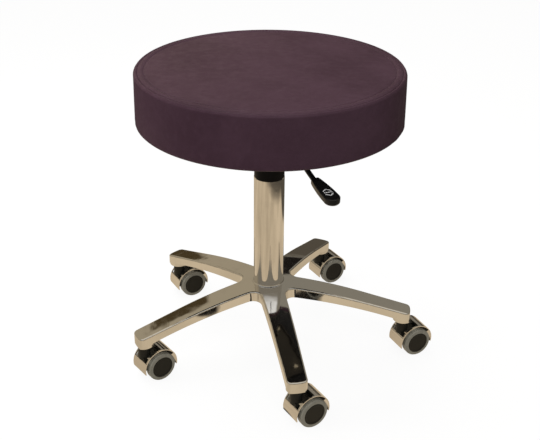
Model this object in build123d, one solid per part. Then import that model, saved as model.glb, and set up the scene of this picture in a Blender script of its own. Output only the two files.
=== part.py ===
"""Five-star dentist stool with a gas lift, a round upholstered seat and five twin-wheel casters.

Frame: millimetres, +Z up, origin on the floor under the column's axis.
Each function returns one named piece, and the table at the end writes one STEP per piece.
"""

import os
from math import asin, atan, atan2, cos, degrees, hypot, radians, sin, sqrt, tan

from build123d import *

# Driving dimensions of the whole stool
SEAT_RADIUS = 212.5
SEAT_RIM_Z = 509.0
SEAT_BOTTOM_Z = 425.5
SEAT_CROWN = 3.5
SEAT_FLAT_DEPTH = 0.3
COLUMN_RADIUS = 25.5
COLUMN_TOP_Z = 324.6
ARM_COUNT = 5
FIRST_ARM_AZIMUTH = -79.1
WHEEL_RADIUS = 25.0
CASTER_CIRCLE_RADIUS = 235.4
CASTER_HEADINGS = (31.2, 25.5, 29.7, 29.7, 37.3)
CASTER_TRAIL = 20.0
LEVER_AZIMUTH = -66.5

# Fits between moving pieces, radial
RUNNING_CLEARANCE = 0.06
END_PLAY = 0.2

# Star base
ARM_TIP_RADIUS = 248.0
ARM_TIP_BULGE = 2.4
ARM_TIP_HALF_WIDTH = 16.9
ARM_ROOT_RADIUS = 60.0
ARM_ROOT_HALF_WIDTH = 20.4
ARM_WALL = 4.5
ARM_TOP_SKIN = 5.0
ARM_BEND = (165.0, 105.2)
ARM_TIP_SLOPE = 0.235
ARM_TOP_ARC_RADIUS = 860.0
ARM_BOTTOM_ROOT = (30.0, 107.5)
ARM_BOTTOM_MID = (140.0, 94.8)
ARM_BOTTOM_TIP_Z = 65.5
ARM_EDGE_FILLET = 2.6
ARM_CORNER_FILLET = 16.0
ARM_TIP_FILLET = 7.5
TIP_BOSS_BOTTOM_Z = 66.5
CASTING_TOP_Z = 140.0
TIP_BOSS_RADIUS = 16.5
TIP_BOSS_TOP_Z = 80.0
HUB_FILLET = 2.5
HUB_LIP = 0.5
SLAB_MARGIN = 10.0
HUB_WALL_RADIUS = 32.0
HUB_SKIRT_RADIUS = 28.5
HUB_SKIRT_TOP_Z = 112.0
HUB_BOTTOM_Z = 97.0
CAVITY_FLOOR_Z = 50.0
CAVITY_OVERLAP = 4.0
RIM_TOLERANCE = 0.4
RIB_THICKNESS = 3.5
CROSS_RIB_RADII = (95.0, 160.0)

# Column and its lower taper
COLUMN_WALL = 2.0
COLUMN_BOTTOM_Z = 97.0
COLUMN_PLATE = 4.0
COLUMN_LOW_STEP = 1.5
EDGE_BREAK = 1.0
TAPER_TOP_Z = 130.0
TAPER_HALF_ANGLE = 1.43
BORE_TAPER_HEIGHT = 3.0

# Gas lift
ROD_RADIUS = 5.0
ROD_BOTTOM_Z = 92.5
ROD_SHOULDER_RADIUS = 9.0
ROD_SHOULDER_HEIGHT = 3.0
CLIP_BOTTOM_Z = 94.5
CLIP_TOP_Z = 96.7
CLIP_RADIUS = 8.0
BUMP_STOP_RADIUS = 12.0
BUMP_STOP_HEIGHT = 10.0
BEARING_RADIUS = 17.0
BEARING_BORE = 5.4
WASHER_THICKNESS = 2.5
BALL_RADIUS = 2.0
BALL_CIRCLE_RADIUS = 11.5
BALL_COUNT = 12
TUBE_RADIUS = 14.0
TUBE_WALL = 2.0
TUBE_BOTTOM_Z = 155.0
TUBE_TOP_Z = 402.0
TUBE_TAPER_Z = 382.0
TUBE_HEAD_RADIUS = 13.2
TUBE_HEAD_PLUG = 5.0
SLIT_SHARE = 0.7
PISTON_BOTTOM_Z = 272.0
PISTON_HEIGHT = 12.0
SEAL_HEIGHT = 14.0
BUSH_BOTTOM_Z = 235.0
COLLAR_TOP_Z = 348.4
COLLAR_RADIUS = 25.1
BUTTON_RADIUS = 4.0
BUTTON_TOP_Z = 408.6
BUTTON_BOTTOM_Z = 393.0
BUTTON_DOME = 1.2

# Seat plate, socket and lever pivot
PLATE_HALF = 80.0
PLATE_THICKNESS = 2.5
PLATE_FLANGE_BOTTOM_Z = 415.5
PLATE_CORNER = 14.0
PLATE_EDGE_FILLET = 2.0
PLATE_BOLT_HALF = 60.0
BOLT_RADIUS = 3.0
SOCKET_RADIUS = 20.0
SOCKET_BOTTOM_Z = 381.2
LEVER_PIVOT_RADIUS = 50.0
LEVER_PIVOT_Z = 412.0
LEVER_ROD_RADIUS = 4.0
PIVOT_PIN_RADIUS = 2.5
EAR_GAP_HALF = 6.5
EAR_THICKNESS = 3.0
EAR_HALF_LENGTH = 7.0
BUSH_OUTER_RADIUS = 4.0

# Lever's visible run and its handle
LEVER_INNER_END = -5.0
LEVER_BEND_RADIUS = 62.0
LEVER_BEND_FILLET = 18.0
ROD_IN_HANDLE = 22.0
HANDLE_START_RADIUS = 166.8
HANDLE_START_Z = 386.1
HANDLE_LENGTH = 70.0
HANDLE_DROP = 6.0
HANDLE_WIDTH = 24.0
HANDLE_NECK_WIDTH = 12.5
HANDLE_THICKNESS = 11.0
HANDLE_NECK_FILLET = 3.0
HANDLE_TOP_FILLET = 2.0
HANDLE_BOTTOM_FILLET = 3.5
HANDLE_RIM = 2.6
HANDLE_DISH = 0.8
HANDLE_DISH_START = 20.0

# Seat build-up
COVER_THICKNESS = 1.5
SEAT_EDGE_RADIUS = 4.5
SEAT_FLARE = 1.2
SEAM_INSET = 6.0
COVER_TURN_IN = 20.0
EDGE_INSET_SHARE = 0.8
BOARD_THICKNESS = 12.0
BOARD_RADIUS = 208.5
FOAM_GAP = 0.2
TEE_FLANGE_RADIUS = 9.0
TEE_FLANGE_THICKNESS = 1.5
TEE_BARREL_RADIUS = 4.5
TEE_BARREL_HEIGHT = 10.0
SCREW_HEAD_RADIUS = 5.8
SCREW_HEAD_HEIGHT = 4.0
SCREW_CLEARANCE = 0.3

# Casters, in a frame with the swivel axis at the origin and the trail along +X
HOOD_HALF_WIDTH = 19.7
WHEEL_INNER_FACE = 10.5
WHEEL_OUTER_FACE = 24.6
TREAD_BORE = 18.7
TREAD_SHOULDER = 3.0
TREAD_SET_BACK = 0.4
CAP_CHAMFER = 0.8
CAP_RIM_WIDTH = 3.0
CAP_DISH = 0.6
AXLE_END_GAP = 0.5
AXLE_RADIUS = 2.5
AXLE_HALF_LENGTH = 21.5
HOOD_INNER_RADIUS = 29.5
HOOD_THICKNESS = 1.5
HOOD_START_ANGLE = -13.0
HOOD_END_ANGLE = 192.7
HOOD_OPENING_START = 84.0
HOOD_OPENING_END = 152.0
HOOD_RIM = 2.4
HOOD_TAB_ANGLE = 131.0
HOOD_TAB_SPAN = 6.0
HOOD_TAB_LENGTH = 4.5
HOOD_REST_START = 15.0
HOOD_REST_END = 68.0
FAN_STEPS = 4
CORE_HALF_WIDTH = 9.4
CORE_RADIUS = 20.5
CORE_TOP_Z = 65.5
CORE_BOSS_RADIUS = 10.0
CORE_BOSS_LOW_Z = 41.0
CORE_LOW_Z = 20.0
CORE_BACK = 7.2
CORE_OVERLAP = 4.0
STEM_RADIUS = 5.5
STEM_BOTTOM_Z = 24.0
STEM_TOP_Z = 82.0
GRIP_RING_Z = 73.0
GRIP_RING_HEIGHT = 3.0
GRIP_RING_OUTER = 6.3
GRIP_RING_INNER = 4.9


def arm_top(radius):
    """Height of the arms' top surface at a distance from the column's axis: an arc, then a straight slope."""
    bend_radius, bend_z = ARM_BEND
    if radius > bend_radius:
        return bend_z - ARM_TIP_SLOPE * (radius - bend_radius)
    tilt = atan(ARM_TIP_SLOPE)
    centre_radius = bend_radius - ARM_TOP_ARC_RADIUS * sin(tilt)
    centre_z = bend_z - ARM_TOP_ARC_RADIUS * cos(tilt)
    return centre_z + sqrt(ARM_TOP_ARC_RADIUS**2 - (radius - centre_radius) ** 2)


def turned(*outline):
    """Solid of revolution about Z from straight runs through (radius, height) points."""
    wire = Polyline(*[(r, 0, z) for r, z in outline], close=True)
    return revolve(make_face(wire), axis=Axis.Z)


def disc(radius, low, high):
    """Plain cylinder on the Z axis."""
    return Pos(0, 0, low) * Cylinder(radius, high - low, align=(Align.CENTER, Align.CENTER, Align.MIN))


def ring(outer, inner, low, high):
    """Plain tube on the Z axis."""
    return disc(outer, low, high) - disc(inner, low - 1, high + 1)


def block(x_range, y_range, z_range):
    """Box between the stated limits."""
    spans = (x_range, y_range, z_range)
    centre = [(low + high) / 2 for low, high in spans]
    size = [high - low for low, high in spans]
    return Pos(*centre) * Box(*size)


def arm_azimuth(index):
    """Direction of one arm, in degrees from +X."""
    return FIRST_ARM_AZIMUTH + index * 360 / ARM_COUNT


def on_arms(shape):
    """Copies of a shape built on the +X axis, one on each arm."""
    return [Rot(0, 0, arm_azimuth(i)) * shape for i in range(ARM_COUNT)]


def caster_places():
    """Place of each caster's own frame: on its arm, turned to its own heading."""
    places = []
    for index, heading in enumerate(CASTER_HEADINGS):
        azimuth = radians(arm_azimuth(index))
        x = CASTER_CIRCLE_RADIUS * cos(azimuth)
        y = CASTER_CIRCLE_RADIUS * sin(azimuth)
        places.append(Pos(x, y, 0) * Rot(0, 0, heading))
    return places


def star_plan(inset):
    """Plan of the five arms, drawn in by inset."""
    tip_radius = ARM_TIP_RADIUS - inset
    tip_half = ARM_TIP_HALF_WIDTH - inset
    root_half = ARM_ROOT_HALF_WIDTH - inset
    slope = (tip_half - root_half) / (tip_radius - ARM_ROOT_RADIUS)
    half_step = radians(180 / ARM_COUNT)
    corner_x = (root_half - slope * ARM_ROOT_RADIUS) / (tan(half_step) - slope)
    corner = (corner_x, corner_x * tan(half_step))
    edges = []
    for index in range(ARM_COUNT):
        place = Rot(0, 0, arm_azimuth(index))
        shoulder = tip_radius - ARM_TIP_BULGE
        edges.append(place * Line((corner[0], -corner[1]), (shoulder, -tip_half)))
        edges.append(place * ThreePointArc((shoulder, -tip_half), (tip_radius, 0), (shoulder, tip_half)))
        edges.append(place * Line((shoulder, tip_half), corner))
    plan = make_face(Wire(edges))
    by_distance = plan.vertices().sort_by(lambda v: hypot(v.X, v.Y))
    plan = fillet(by_distance[:ARM_COUNT], ARM_CORNER_FILLET + inset)
    by_distance = plan.vertices().sort_by(lambda v: hypot(v.X, v.Y))
    return fillet(by_distance[-2 * ARM_COUNT:], ARM_TIP_FILLET - inset / 2)


def upright_star(inset):
    """The plan drawn straight up through the casting's height."""
    return Pos(0, 0, TIP_BOSS_BOTTOM_Z) * extrude(star_plan(inset), CASTING_TOP_Z - TIP_BOSS_BOTTOM_Z)


def arm_slab(drop, flat_floor):
    """Revolved layer under the arms' top line lowered by drop, down to their bottom line or a flat floor."""
    lip = COLUMN_RADIUS + HUB_LIP
    foot = lip + HUB_FILLET
    outer = ARM_TIP_RADIUS + SLAB_MARGIN
    foot_z = arm_top(foot) - drop
    sag = HUB_FILLET * (1 - sqrt(0.5))

    def at(radius, height):
        return (radius, 0, height)

    centre_top = at(0, foot_z + HUB_FILLET)
    hub_top = at(lip, foot_z + HUB_FILLET)
    hub_bend = at(lip + sag, foot_z + sag)
    hub_foot = at(foot, foot_z)
    bow_radius = (foot + ARM_BEND[0]) / 2
    bow = at(bow_radius, arm_top(bow_radius) - drop)
    bend = at(ARM_BEND[0], ARM_BEND[1] - drop)
    tip = at(outer, arm_top(outer) - drop)
    edges = [Line(centre_top, hub_top), ThreePointArc(hub_top, hub_bend, hub_foot)]
    edges += [ThreePointArc(hub_foot, bow, bend), Line(bend, tip)]
    if flat_floor:
        low_tip = at(outer, CAVITY_FLOOR_Z)
        low_centre = at(0, CAVITY_FLOOR_Z)
        edges += [Line(tip, low_tip), Line(low_tip, low_centre), Line(low_centre, centre_top)]
    else:
        low_tip = at(outer, ARM_BOTTOM_TIP_Z)
        low_mid = at(*ARM_BOTTOM_MID)
        low_root = at(*ARM_BOTTOM_ROOT)
        low_centre = at(0, ARM_BOTTOM_ROOT[1])
        edges += [Line(tip, low_tip), ThreePointArc(low_tip, low_mid, low_root)]
        edges += [Line(low_root, low_centre), Line(low_centre, centre_top)]
    between_arms = Rot(0, 0, arm_azimuth(0) + 180 / ARM_COUNT)
    return between_arms * revolve(make_face(Wire(edges)), axis=Axis.Z)


def taper_radius(height):
    """Radius of the column's lower taper at a height."""
    return COLUMN_RADIUS - (TAPER_TOP_Z - height) * tan(radians(TAPER_HALF_ANGLE))


def column_bore():
    """Space in the hub that the column's taper fills."""
    low = HUB_BOTTOM_Z - 1
    return turned(
        (0, low),
        (taper_radius(low), low),
        (COLUMN_RADIUS, TAPER_TOP_Z),
        (COLUMN_RADIUS, CASTING_TOP_Z),
        (0, CASTING_TOP_Z),
    )


def is_arm_rim(edge):
    """True for the edges round the arms' top surface."""
    middle = edge.center()
    outside_hub = hypot(middle.X, middle.Y) > HUB_SKIRT_RADIUS + HUB_FILLET
    on_top = all(abs(v.Z - arm_top(hypot(v.X, v.Y))) < RIM_TOLERANCE for v in edge.vertices())
    return outside_hub and on_top and edge.geom_type != GeomType.CIRCLE


def base_casting():
    """Star base: hub with a taper bore, five channel-section arms, ribs and caster sockets."""
    at_caster = Pos(CASTER_CIRCLE_RADIUS, 0, 0)
    boss = at_caster * disc(TIP_BOSS_RADIUS, TIP_BOSS_BOTTOM_Z, TIP_BOSS_TOP_Z)
    skirt = disc(HUB_SKIRT_RADIUS, HUB_BOTTOM_Z, HUB_SKIRT_TOP_Z)
    body = upright_star(0) & (arm_slab(0, False) + on_arms(boss) + skirt)
    body = fillet(body.edges().filter_by(is_arm_rim), ARM_EDGE_FILLET)

    cavity = Pos(0, 0, -CAVITY_OVERLAP) * upright_star(ARM_WALL) & arm_slab(ARM_TOP_SKIN, True)
    rib = block((0, CASTER_CIRCLE_RADIUS), (-RIB_THICKNESS / 2, RIB_THICKNESS / 2), (0, CASTING_TOP_Z))
    for radius in CROSS_RIB_RADII:
        rib += block(
            (radius - RIB_THICKNESS / 2, radius + RIB_THICKNESS / 2),
            (-ARM_ROOT_HALF_WIDTH, ARM_ROOT_HALF_WIDTH),
            (0, CASTING_TOP_Z),
        )
    kept = on_arms(rib) + on_arms(at_caster * disc(TIP_BOSS_RADIUS, 0, CASTING_TOP_Z))
    kept.append(disc(HUB_WALL_RADIUS, 0, CASTING_TOP_Z))
    cavity -= kept

    socket = disc(STEM_RADIUS, 0, STEM_TOP_Z)
    socket += ring(GRIP_RING_OUTER, STEM_RADIUS - 0.5, GRIP_RING_Z, GRIP_RING_Z + GRIP_RING_HEIGHT)
    body -= cavity
    body -= column_bore()
    return body - on_arms(at_caster * socket)


def column_tube():
    """Chromed outer tube of the gas lift, tapered at the foot and closed by a plate with the rod's hole."""
    bore = COLUMN_RADIUS - COLUMN_WALL
    low_bore = bore - COLUMN_LOW_STEP
    hole = ROD_RADIUS + RUNNING_CLEARANCE
    plate_top = COLUMN_BOTTOM_Z + COLUMN_PLATE
    return turned(
        (hole, COLUMN_BOTTOM_Z),
        (taper_radius(COLUMN_BOTTOM_Z), COLUMN_BOTTOM_Z),
        (COLUMN_RADIUS, TAPER_TOP_Z),
        (COLUMN_RADIUS, COLUMN_TOP_Z - EDGE_BREAK),
        (COLUMN_RADIUS - EDGE_BREAK, COLUMN_TOP_Z),
        (bore, COLUMN_TOP_Z),
        (bore, TAPER_TOP_Z + BORE_TAPER_HEIGHT),
        (low_bore, TAPER_TOP_Z),
        (low_bore, plate_top),
        (hole, plate_top),
    )


def guide_bush():
    """Black plastic guide for the pressure tube, with the collar that shows above the column."""
    bore = TUBE_RADIUS + RUNNING_CLEARANCE
    column_bore_radius = COLUMN_RADIUS - COLUMN_WALL
    return turned(
        (bore, BUSH_BOTTOM_Z),
        (column_bore_radius, BUSH_BOTTOM_Z),
        (column_bore_radius, COLUMN_TOP_Z),
        (COLLAR_RADIUS, COLUMN_TOP_Z),
        (COLLAR_RADIUS, COLLAR_TOP_Z - 2 * EDGE_BREAK),
        (COLLAR_RADIUS - 2 * EDGE_BREAK, COLLAR_TOP_Z),
        (bore, COLLAR_TOP_Z),
    )


def thrust_bearing():
    """Two washers and a ring of balls on the column's bottom plate, as separate solids."""
    low = COLUMN_BOTTOM_Z + COLUMN_PLATE
    ball_z = low + WASHER_THICKNESS + BALL_RADIUS
    top_washer_z = ball_z + BALL_RADIUS
    solids = [ring(BEARING_RADIUS, BEARING_BORE, low, low + WASHER_THICKNESS)]
    solids.append(ring(BEARING_RADIUS, BEARING_BORE, top_washer_z, top_washer_z + WASHER_THICKNESS))
    for index in range(BALL_COUNT):
        turn = Rot(0, 0, index * 360 / BALL_COUNT)
        solids.append(turn * Pos(BALL_CIRCLE_RADIUS, 0, ball_z) * Sphere(BALL_RADIUS - 0.01))
    return solids


def bearing_top():
    """Height of the thrust bearing's upper face."""
    return COLUMN_BOTTOM_Z + COLUMN_PLATE + 2 * WASHER_THICKNESS + 2 * BALL_RADIUS


def piston_rod():
    """Rod that stands on the thrust bearing: clip groove, shoulder, shank and the piston's seat."""
    shoulder_low = bearing_top()
    groove_radius = ROD_RADIUS - 1
    return turned(
        (0, ROD_BOTTOM_Z),
        (ROD_RADIUS, ROD_BOTTOM_Z),
        (ROD_RADIUS, CLIP_BOTTOM_Z),
        (groove_radius, CLIP_BOTTOM_Z),
        (groove_radius, CLIP_TOP_Z),
        (ROD_RADIUS, CLIP_TOP_Z),
        (ROD_RADIUS, shoulder_low),
        (ROD_SHOULDER_RADIUS, shoulder_low),
        (ROD_SHOULDER_RADIUS, shoulder_low + ROD_SHOULDER_HEIGHT),
        (ROD_RADIUS, shoulder_low + ROD_SHOULDER_HEIGHT),
        (ROD_RADIUS, PISTON_BOTTOM_Z),
        (groove_radius, PISTON_BOTTOM_Z),
        (groove_radius, PISTON_BOTTOM_Z + PISTON_HEIGHT + 2),
        (0, PISTON_BOTTOM_Z + PISTON_HEIGHT + 2),
    )


def piston_head():
    """Piston with its ring groove, running in the pressure tube."""
    outer = TUBE_RADIUS - TUBE_WALL - RUNNING_CLEARANCE
    inner = ROD_RADIUS - 1
    groove = outer - 1.5
    third = PISTON_HEIGHT / 3
    return turned(
        (inner, PISTON_BOTTOM_Z),
        (outer, PISTON_BOTTOM_Z),
        (outer, PISTON_BOTTOM_Z + third),
        (groove, PISTON_BOTTOM_Z + third),
        (groove, PISTON_BOTTOM_Z + 2 * third),
        (outer, PISTON_BOTTOM_Z + 2 * third),
        (outer, PISTON_BOTTOM_Z + PISTON_HEIGHT),
        (inner, PISTON_BOTTOM_Z + PISTON_HEIGHT),
    )


def bump_stop():
    """Rubber ring on the rod's shoulder that the pressure tube meets at the end of its fall."""
    low = bearing_top() + ROD_SHOULDER_HEIGHT
    return ring(BUMP_STOP_RADIUS, ROD_RADIUS, low, low + BUMP_STOP_HEIGHT)


def rod_clip():
    """Open clip in the rod's groove, under the column's plate."""
    inner = ROD_RADIUS - 1
    slit_half = inner * SLIT_SHARE
    slit = block((0, CLIP_RADIUS + 1), (-slit_half, slit_half), (CLIP_BOTTOM_Z - 1, CLIP_TOP_Z + 1))
    return ring(CLIP_RADIUS, inner, CLIP_BOTTOM_Z, CLIP_TOP_Z) - slit


def pressure_tube():
    """Gas lift's inner cylinder, with a tapered head that holds the release button."""
    bore = TUBE_RADIUS - TUBE_WALL
    button_bore = BUTTON_RADIUS + RUNNING_CLEARANCE
    return turned(
        (bore, TUBE_BOTTOM_Z),
        (TUBE_RADIUS, TUBE_BOTTOM_Z),
        (TUBE_RADIUS, TUBE_TAPER_Z),
        (TUBE_HEAD_RADIUS, TUBE_TOP_Z),
        (button_bore, TUBE_TOP_Z),
        (button_bore, TUBE_TAPER_Z + TUBE_HEAD_PLUG),
        (0, TUBE_TAPER_Z + TUBE_HEAD_PLUG),
        (0, TUBE_TAPER_Z),
        (bore, TUBE_TAPER_Z),
    )


def rod_guide_seal():
    """Guide and seal at the pressure tube's lower end, sliding on the rod."""
    outer = TUBE_RADIUS - TUBE_WALL
    return ring(outer, ROD_RADIUS + RUNNING_CLEARANCE, TUBE_BOTTOM_Z, TUBE_BOTTOM_Z + SEAL_HEIGHT)


def release_button():
    """Valve button in the pressure tube's head, domed where the lever meets it."""
    dome_z = BUTTON_TOP_Z - BUTTON_DOME
    body = disc(BUTTON_RADIUS, BUTTON_BOTTOM_Z, dome_z)
    sphere_radius = (BUTTON_RADIUS**2 + BUTTON_DOME**2) / (2 * BUTTON_DOME)
    cap = Pos(0, 0, BUTTON_TOP_Z - sphere_radius) * Sphere(sphere_radius)
    return body + (cap & disc(BUTTON_RADIUS, dome_z, BUTTON_TOP_Z + 1))


def in_lever_frame(shape):
    """Turn a shape built with the lever along +X to the lever's direction."""
    return Rot(0, 0, LEVER_AZIMUTH) * shape


def taper_socket():
    """Steel socket welded under the seat plate, with a window for the lever's inner end."""
    plate_under = SEAT_BOTTOM_Z - PLATE_THICKNESS
    body = turned(
        (TUBE_RADIUS, SOCKET_BOTTOM_Z),
        (SOCKET_RADIUS, SOCKET_BOTTOM_Z),
        (SOCKET_RADIUS, plate_under),
        (TUBE_HEAD_RADIUS, plate_under),
        (TUBE_HEAD_RADIUS, TUBE_TOP_Z),
        (TUBE_RADIUS, TUBE_TAPER_Z),
    )
    window = block((0, SOCKET_RADIUS + 5), (-EAR_GAP_HALF, EAR_GAP_HALF), (TUBE_TOP_Z, plate_under + 1))
    return in_lever_frame(body - window)


def pivot_holes(radius):
    """Cylinder along the lever's pivot axis."""
    return Pos(LEVER_PIVOT_RADIUS, 0, LEVER_PIVOT_Z) * Rot(90, 0, 0) * Cylinder(radius, 60)


def seat_plate():
    """Pressed steel plate with a turned-down rim, four screw holes and two ears for the lever's pivot."""
    under = SEAT_BOTTOM_Z - PLATE_THICKNESS
    outline = RectangleRounded(2 * PLATE_HALF, 2 * PLATE_HALF, PLATE_CORNER)
    inner_side = 2 * (PLATE_HALF - PLATE_THICKNESS)
    inner_outline = RectangleRounded(inner_side, inner_side, PLATE_CORNER - PLATE_THICKNESS)
    depth = SEAT_BOTTOM_Z - PLATE_FLANGE_BOTTOM_Z
    body = Pos(0, 0, PLATE_FLANGE_BOTTOM_Z) * extrude(outline, depth)
    body -= Pos(0, 0, PLATE_FLANGE_BOTTOM_Z - 1) * extrude(inner_outline, depth - PLATE_THICKNESS + 1)
    body = fillet(body.edges().group_by(Axis.Z)[-1], PLATE_EDGE_FILLET)
    for near in (-EAR_GAP_HALF - EAR_THICKNESS, EAR_GAP_HALF):
        body += block(
            (LEVER_PIVOT_RADIUS - EAR_HALF_LENGTH, LEVER_PIVOT_RADIUS + EAR_HALF_LENGTH),
            (near, near + EAR_THICKNESS),
            (LEVER_PIVOT_Z - EAR_HALF_LENGTH, under + 1),
        )
    body -= pivot_holes(BUSH_OUTER_RADIUS)
    for x, y in plate_bolts():
        body -= Pos(x, y, 0) * disc(BOLT_RADIUS + SCREW_CLEARANCE, under - 1, SEAT_BOTTOM_Z + 1)
    return in_lever_frame(body)


def plate_bolts():
    """Places of the four seat screws, in the lever's frame."""
    return [(x, y) for x in (-PLATE_BOLT_HALF, PLATE_BOLT_HALF) for y in (-PLATE_BOLT_HALF, PLATE_BOLT_HALF)]


def lever_bushes():
    """Nylon bushes in the ears, round the lever's cross pin."""
    tube = pivot_holes(BUSH_OUTER_RADIUS) - pivot_holes(PIVOT_PIN_RADIUS + RUNNING_CLEARANCE)
    solids = []
    for low in (-EAR_GAP_HALF - EAR_THICKNESS, EAR_GAP_HALF):
        slice_ = block((0, 100), (low, low + EAR_THICKNESS), (LEVER_PIVOT_Z - 10, LEVER_PIVOT_Z + 10))
        solids.append(in_lever_frame(tube & slice_))
    return solids


def lever_path():
    """Centre line of the lever's rod: level inside the seat plate, then sloping down to the handle."""
    slope = (HANDLE_START_Z - LEVER_PIVOT_Z) / (HANDLE_START_RADIUS - LEVER_BEND_RADIUS)
    run = ROD_IN_HANDLE / hypot(1, slope)
    return FilletPolyline(
        (LEVER_INNER_END, 0, LEVER_PIVOT_Z),
        (LEVER_BEND_RADIUS, 0, LEVER_PIVOT_Z),
        (HANDLE_START_RADIUS + run, 0, HANDLE_START_Z + slope * run),
        radius=LEVER_BEND_FILLET,
    )


def lever_rod():
    """Bent steel rod with its welded cross pin and a flat where it meets the button."""
    path = lever_path()
    rod = sweep(Plane(path @ 0, z_dir=path % 0) * Circle(LEVER_ROD_RADIUS), path)
    pin_half = EAR_GAP_HALF + EAR_THICKNESS + 1
    pin = pivot_holes(PIVOT_PIN_RADIUS) & block((0, 100), (-pin_half, pin_half), (0, SEAT_BOTTOM_Z))
    flat = block((LEVER_INNER_END - 5, 20), (-10, 10), (BUTTON_TOP_Z - 10, BUTTON_TOP_Z + END_PLAY))
    return in_lever_frame(rod + pin - flat)


def handle_plan(start, inset):
    """Handle outline from a start along it to the rounded end, drawn in by inset."""
    neck = HANDLE_NECK_WIDTH / 2
    wide = HANDLE_WIDTH / 2
    widest = HANDLE_LENGTH - wide

    def half_width(x):
        share = x / widest
        return neck + (wide - neck) * share * (2 - share) - inset

    edges = [Line((start, half_width(start)), (start, -half_width(start)))]
    middle = (start + widest) / 2
    for side in (-1, 1):
        near = (start, side * half_width(start))
        bow = (middle, side * half_width(middle))
        far = (widest, side * half_width(widest))
        edges.append(ThreePointArc(near, bow, far))
    edges.append(
        ThreePointArc((widest, inset - wide), (HANDLE_LENGTH - inset, 0), (widest, wide - inset))
    )
    plan = make_face(Wire(edges))
    return fillet(plan.vertices().sort_by(Axis.X)[:2], HANDLE_NECK_FILLET)


def lever_handle():
    """Moulded paddle on the lever, with a dished top face and a socket for the rod."""
    drop_angle = degrees(asin(HANDLE_DROP / HANDLE_LENGTH))
    place = Pos(HANDLE_START_RADIUS, 0, HANDLE_START_Z) * Rot(0, drop_angle, 0)
    body = Pos(0, 0, -HANDLE_THICKNESS / 2) * extrude(handle_plan(0, 0), HANDLE_THICKNESS)
    body = fillet(body.edges().group_by(Axis.Z)[-1], HANDLE_TOP_FILLET)
    body = fillet(body.edges().group_by(Axis.Z)[0], HANDLE_BOTTOM_FILLET)
    dish = Pos(0, 0, HANDLE_THICKNESS / 2 - HANDLE_DISH) * extrude(
        handle_plan(HANDLE_DISH_START, HANDLE_RIM), HANDLE_THICKNESS
    )
    body = place * (body - dish)
    rod_angle = degrees(atan2(LEVER_PIVOT_Z - HANDLE_START_Z, HANDLE_START_RADIUS - LEVER_BEND_RADIUS))
    rod = Pos(HANDLE_START_RADIUS, 0, HANDLE_START_Z) * Rot(0, 90 + rod_angle, 0)
    socket = rod * disc(LEVER_ROD_RADIUS, -ROD_IN_HANDLE, ROD_IN_HANDLE)
    return in_lever_frame(body - socket)


def seat_form(inset):
    """Whole seat as one solid, drawn in by inset on every face: a shallow crown with a flat middle."""
    low_z = SEAT_BOTTOM_Z + inset
    crown_z = SEAT_RIM_Z + SEAT_CROWN
    side = SEAT_RADIUS - inset
    flat_z = crown_z - SEAT_FLAT_DEPTH - inset
    straight = turned((0, low_z), (side + SEAT_FLARE, low_z), (side, SEAT_RIM_Z), (side, flat_z), (0, flat_z))
    crown_radius = (SEAT_RADIUS**2 + SEAT_CROWN**2) / (2 * SEAT_CROWN)
    solid = straight & Pos(0, 0, crown_z - crown_radius) * Sphere(crown_radius - inset)
    circles = [e for e in solid.edges() if e.geom_type == GeomType.CIRCLE and e.is_closed]
    circles = [e for e in circles if e.radius > SEAT_RADIUS / 2]
    corners = [min(circles, key=lambda e: e.center().Z), max(circles, key=lambda e: e.center().Z)]
    return fillet(corners, SEAT_EDGE_RADIUS - inset * EDGE_INSET_SHARE)


def seat_skin():
    """Upholstery layer round the whole seat."""
    return seat_form(0) - seat_form(COVER_THICKNESS)


def seat_cover_top():
    """Top panel of the cover, out to the seam."""
    return seat_skin() & disc(SEAT_RADIUS - SEAM_INSET, SEAT_RIM_Z - 10, SEAT_RIM_Z + 10)


def seat_cover_band():
    """Side band of the cover, from the seam over the rim and turned in under the board."""
    inner = disc(SEAT_RADIUS - SEAM_INSET, SEAT_RIM_Z - 20, SEAT_RIM_Z + 10)
    return seat_skin() - [inner, disc(SEAT_RADIUS - COVER_TURN_IN, SEAT_BOTTOM_Z - 5, SEAT_RIM_Z - 15)]


def board_top_z():
    """Height of the board's upper face."""
    return SEAT_BOTTOM_Z + COVER_THICKNESS + BOARD_THICKNESS


def at_seat_screws(shape):
    """Copies of a shape built on the Z axis, at the four seat screws."""
    return [in_lever_frame(Pos(x, y, 0) * shape) for x, y in plate_bolts()]


def seat_foam():
    """Moulded foam on the board, with pockets for the tee nuts' flanges."""
    low = board_top_z()
    foam = seat_form(COVER_THICKNESS + FOAM_GAP) & disc(SEAT_RADIUS + 10, low, SEAT_RIM_Z + 10)
    return foam - at_seat_screws(disc(TEE_FLANGE_RADIUS, low - 1, low + TEE_FLANGE_THICKNESS))


def seat_board():
    """Plywood board with the tee nuts' holes."""
    low = SEAT_BOTTOM_Z + COVER_THICKNESS
    high = board_top_z()
    return disc(BOARD_RADIUS, low, high) - at_seat_screws(disc(TEE_BARREL_RADIUS, low - 1, high + 1))


def dust_cover():
    """Black felt disc under the board, inside the cover's turned-in edge."""
    radius = SEAT_RADIUS - COVER_TURN_IN - 1
    top = SEAT_BOTTOM_Z + COVER_THICKNESS
    hole = disc(BOLT_RADIUS + SCREW_CLEARANCE, SEAT_BOTTOM_Z - 1, top + 1)
    return disc(radius, SEAT_BOTTOM_Z, top) - at_seat_screws(hole)


def tee_nuts():
    """Four tee nuts in the board, as separate solids."""
    top = board_top_z()
    nut = ring(TEE_BARREL_RADIUS, BOLT_RADIUS, top - TEE_BARREL_HEIGHT, top)
    nut += ring(TEE_FLANGE_RADIUS, BOLT_RADIUS, top, top + TEE_FLANGE_THICKNESS)
    return at_seat_screws(nut)


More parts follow.
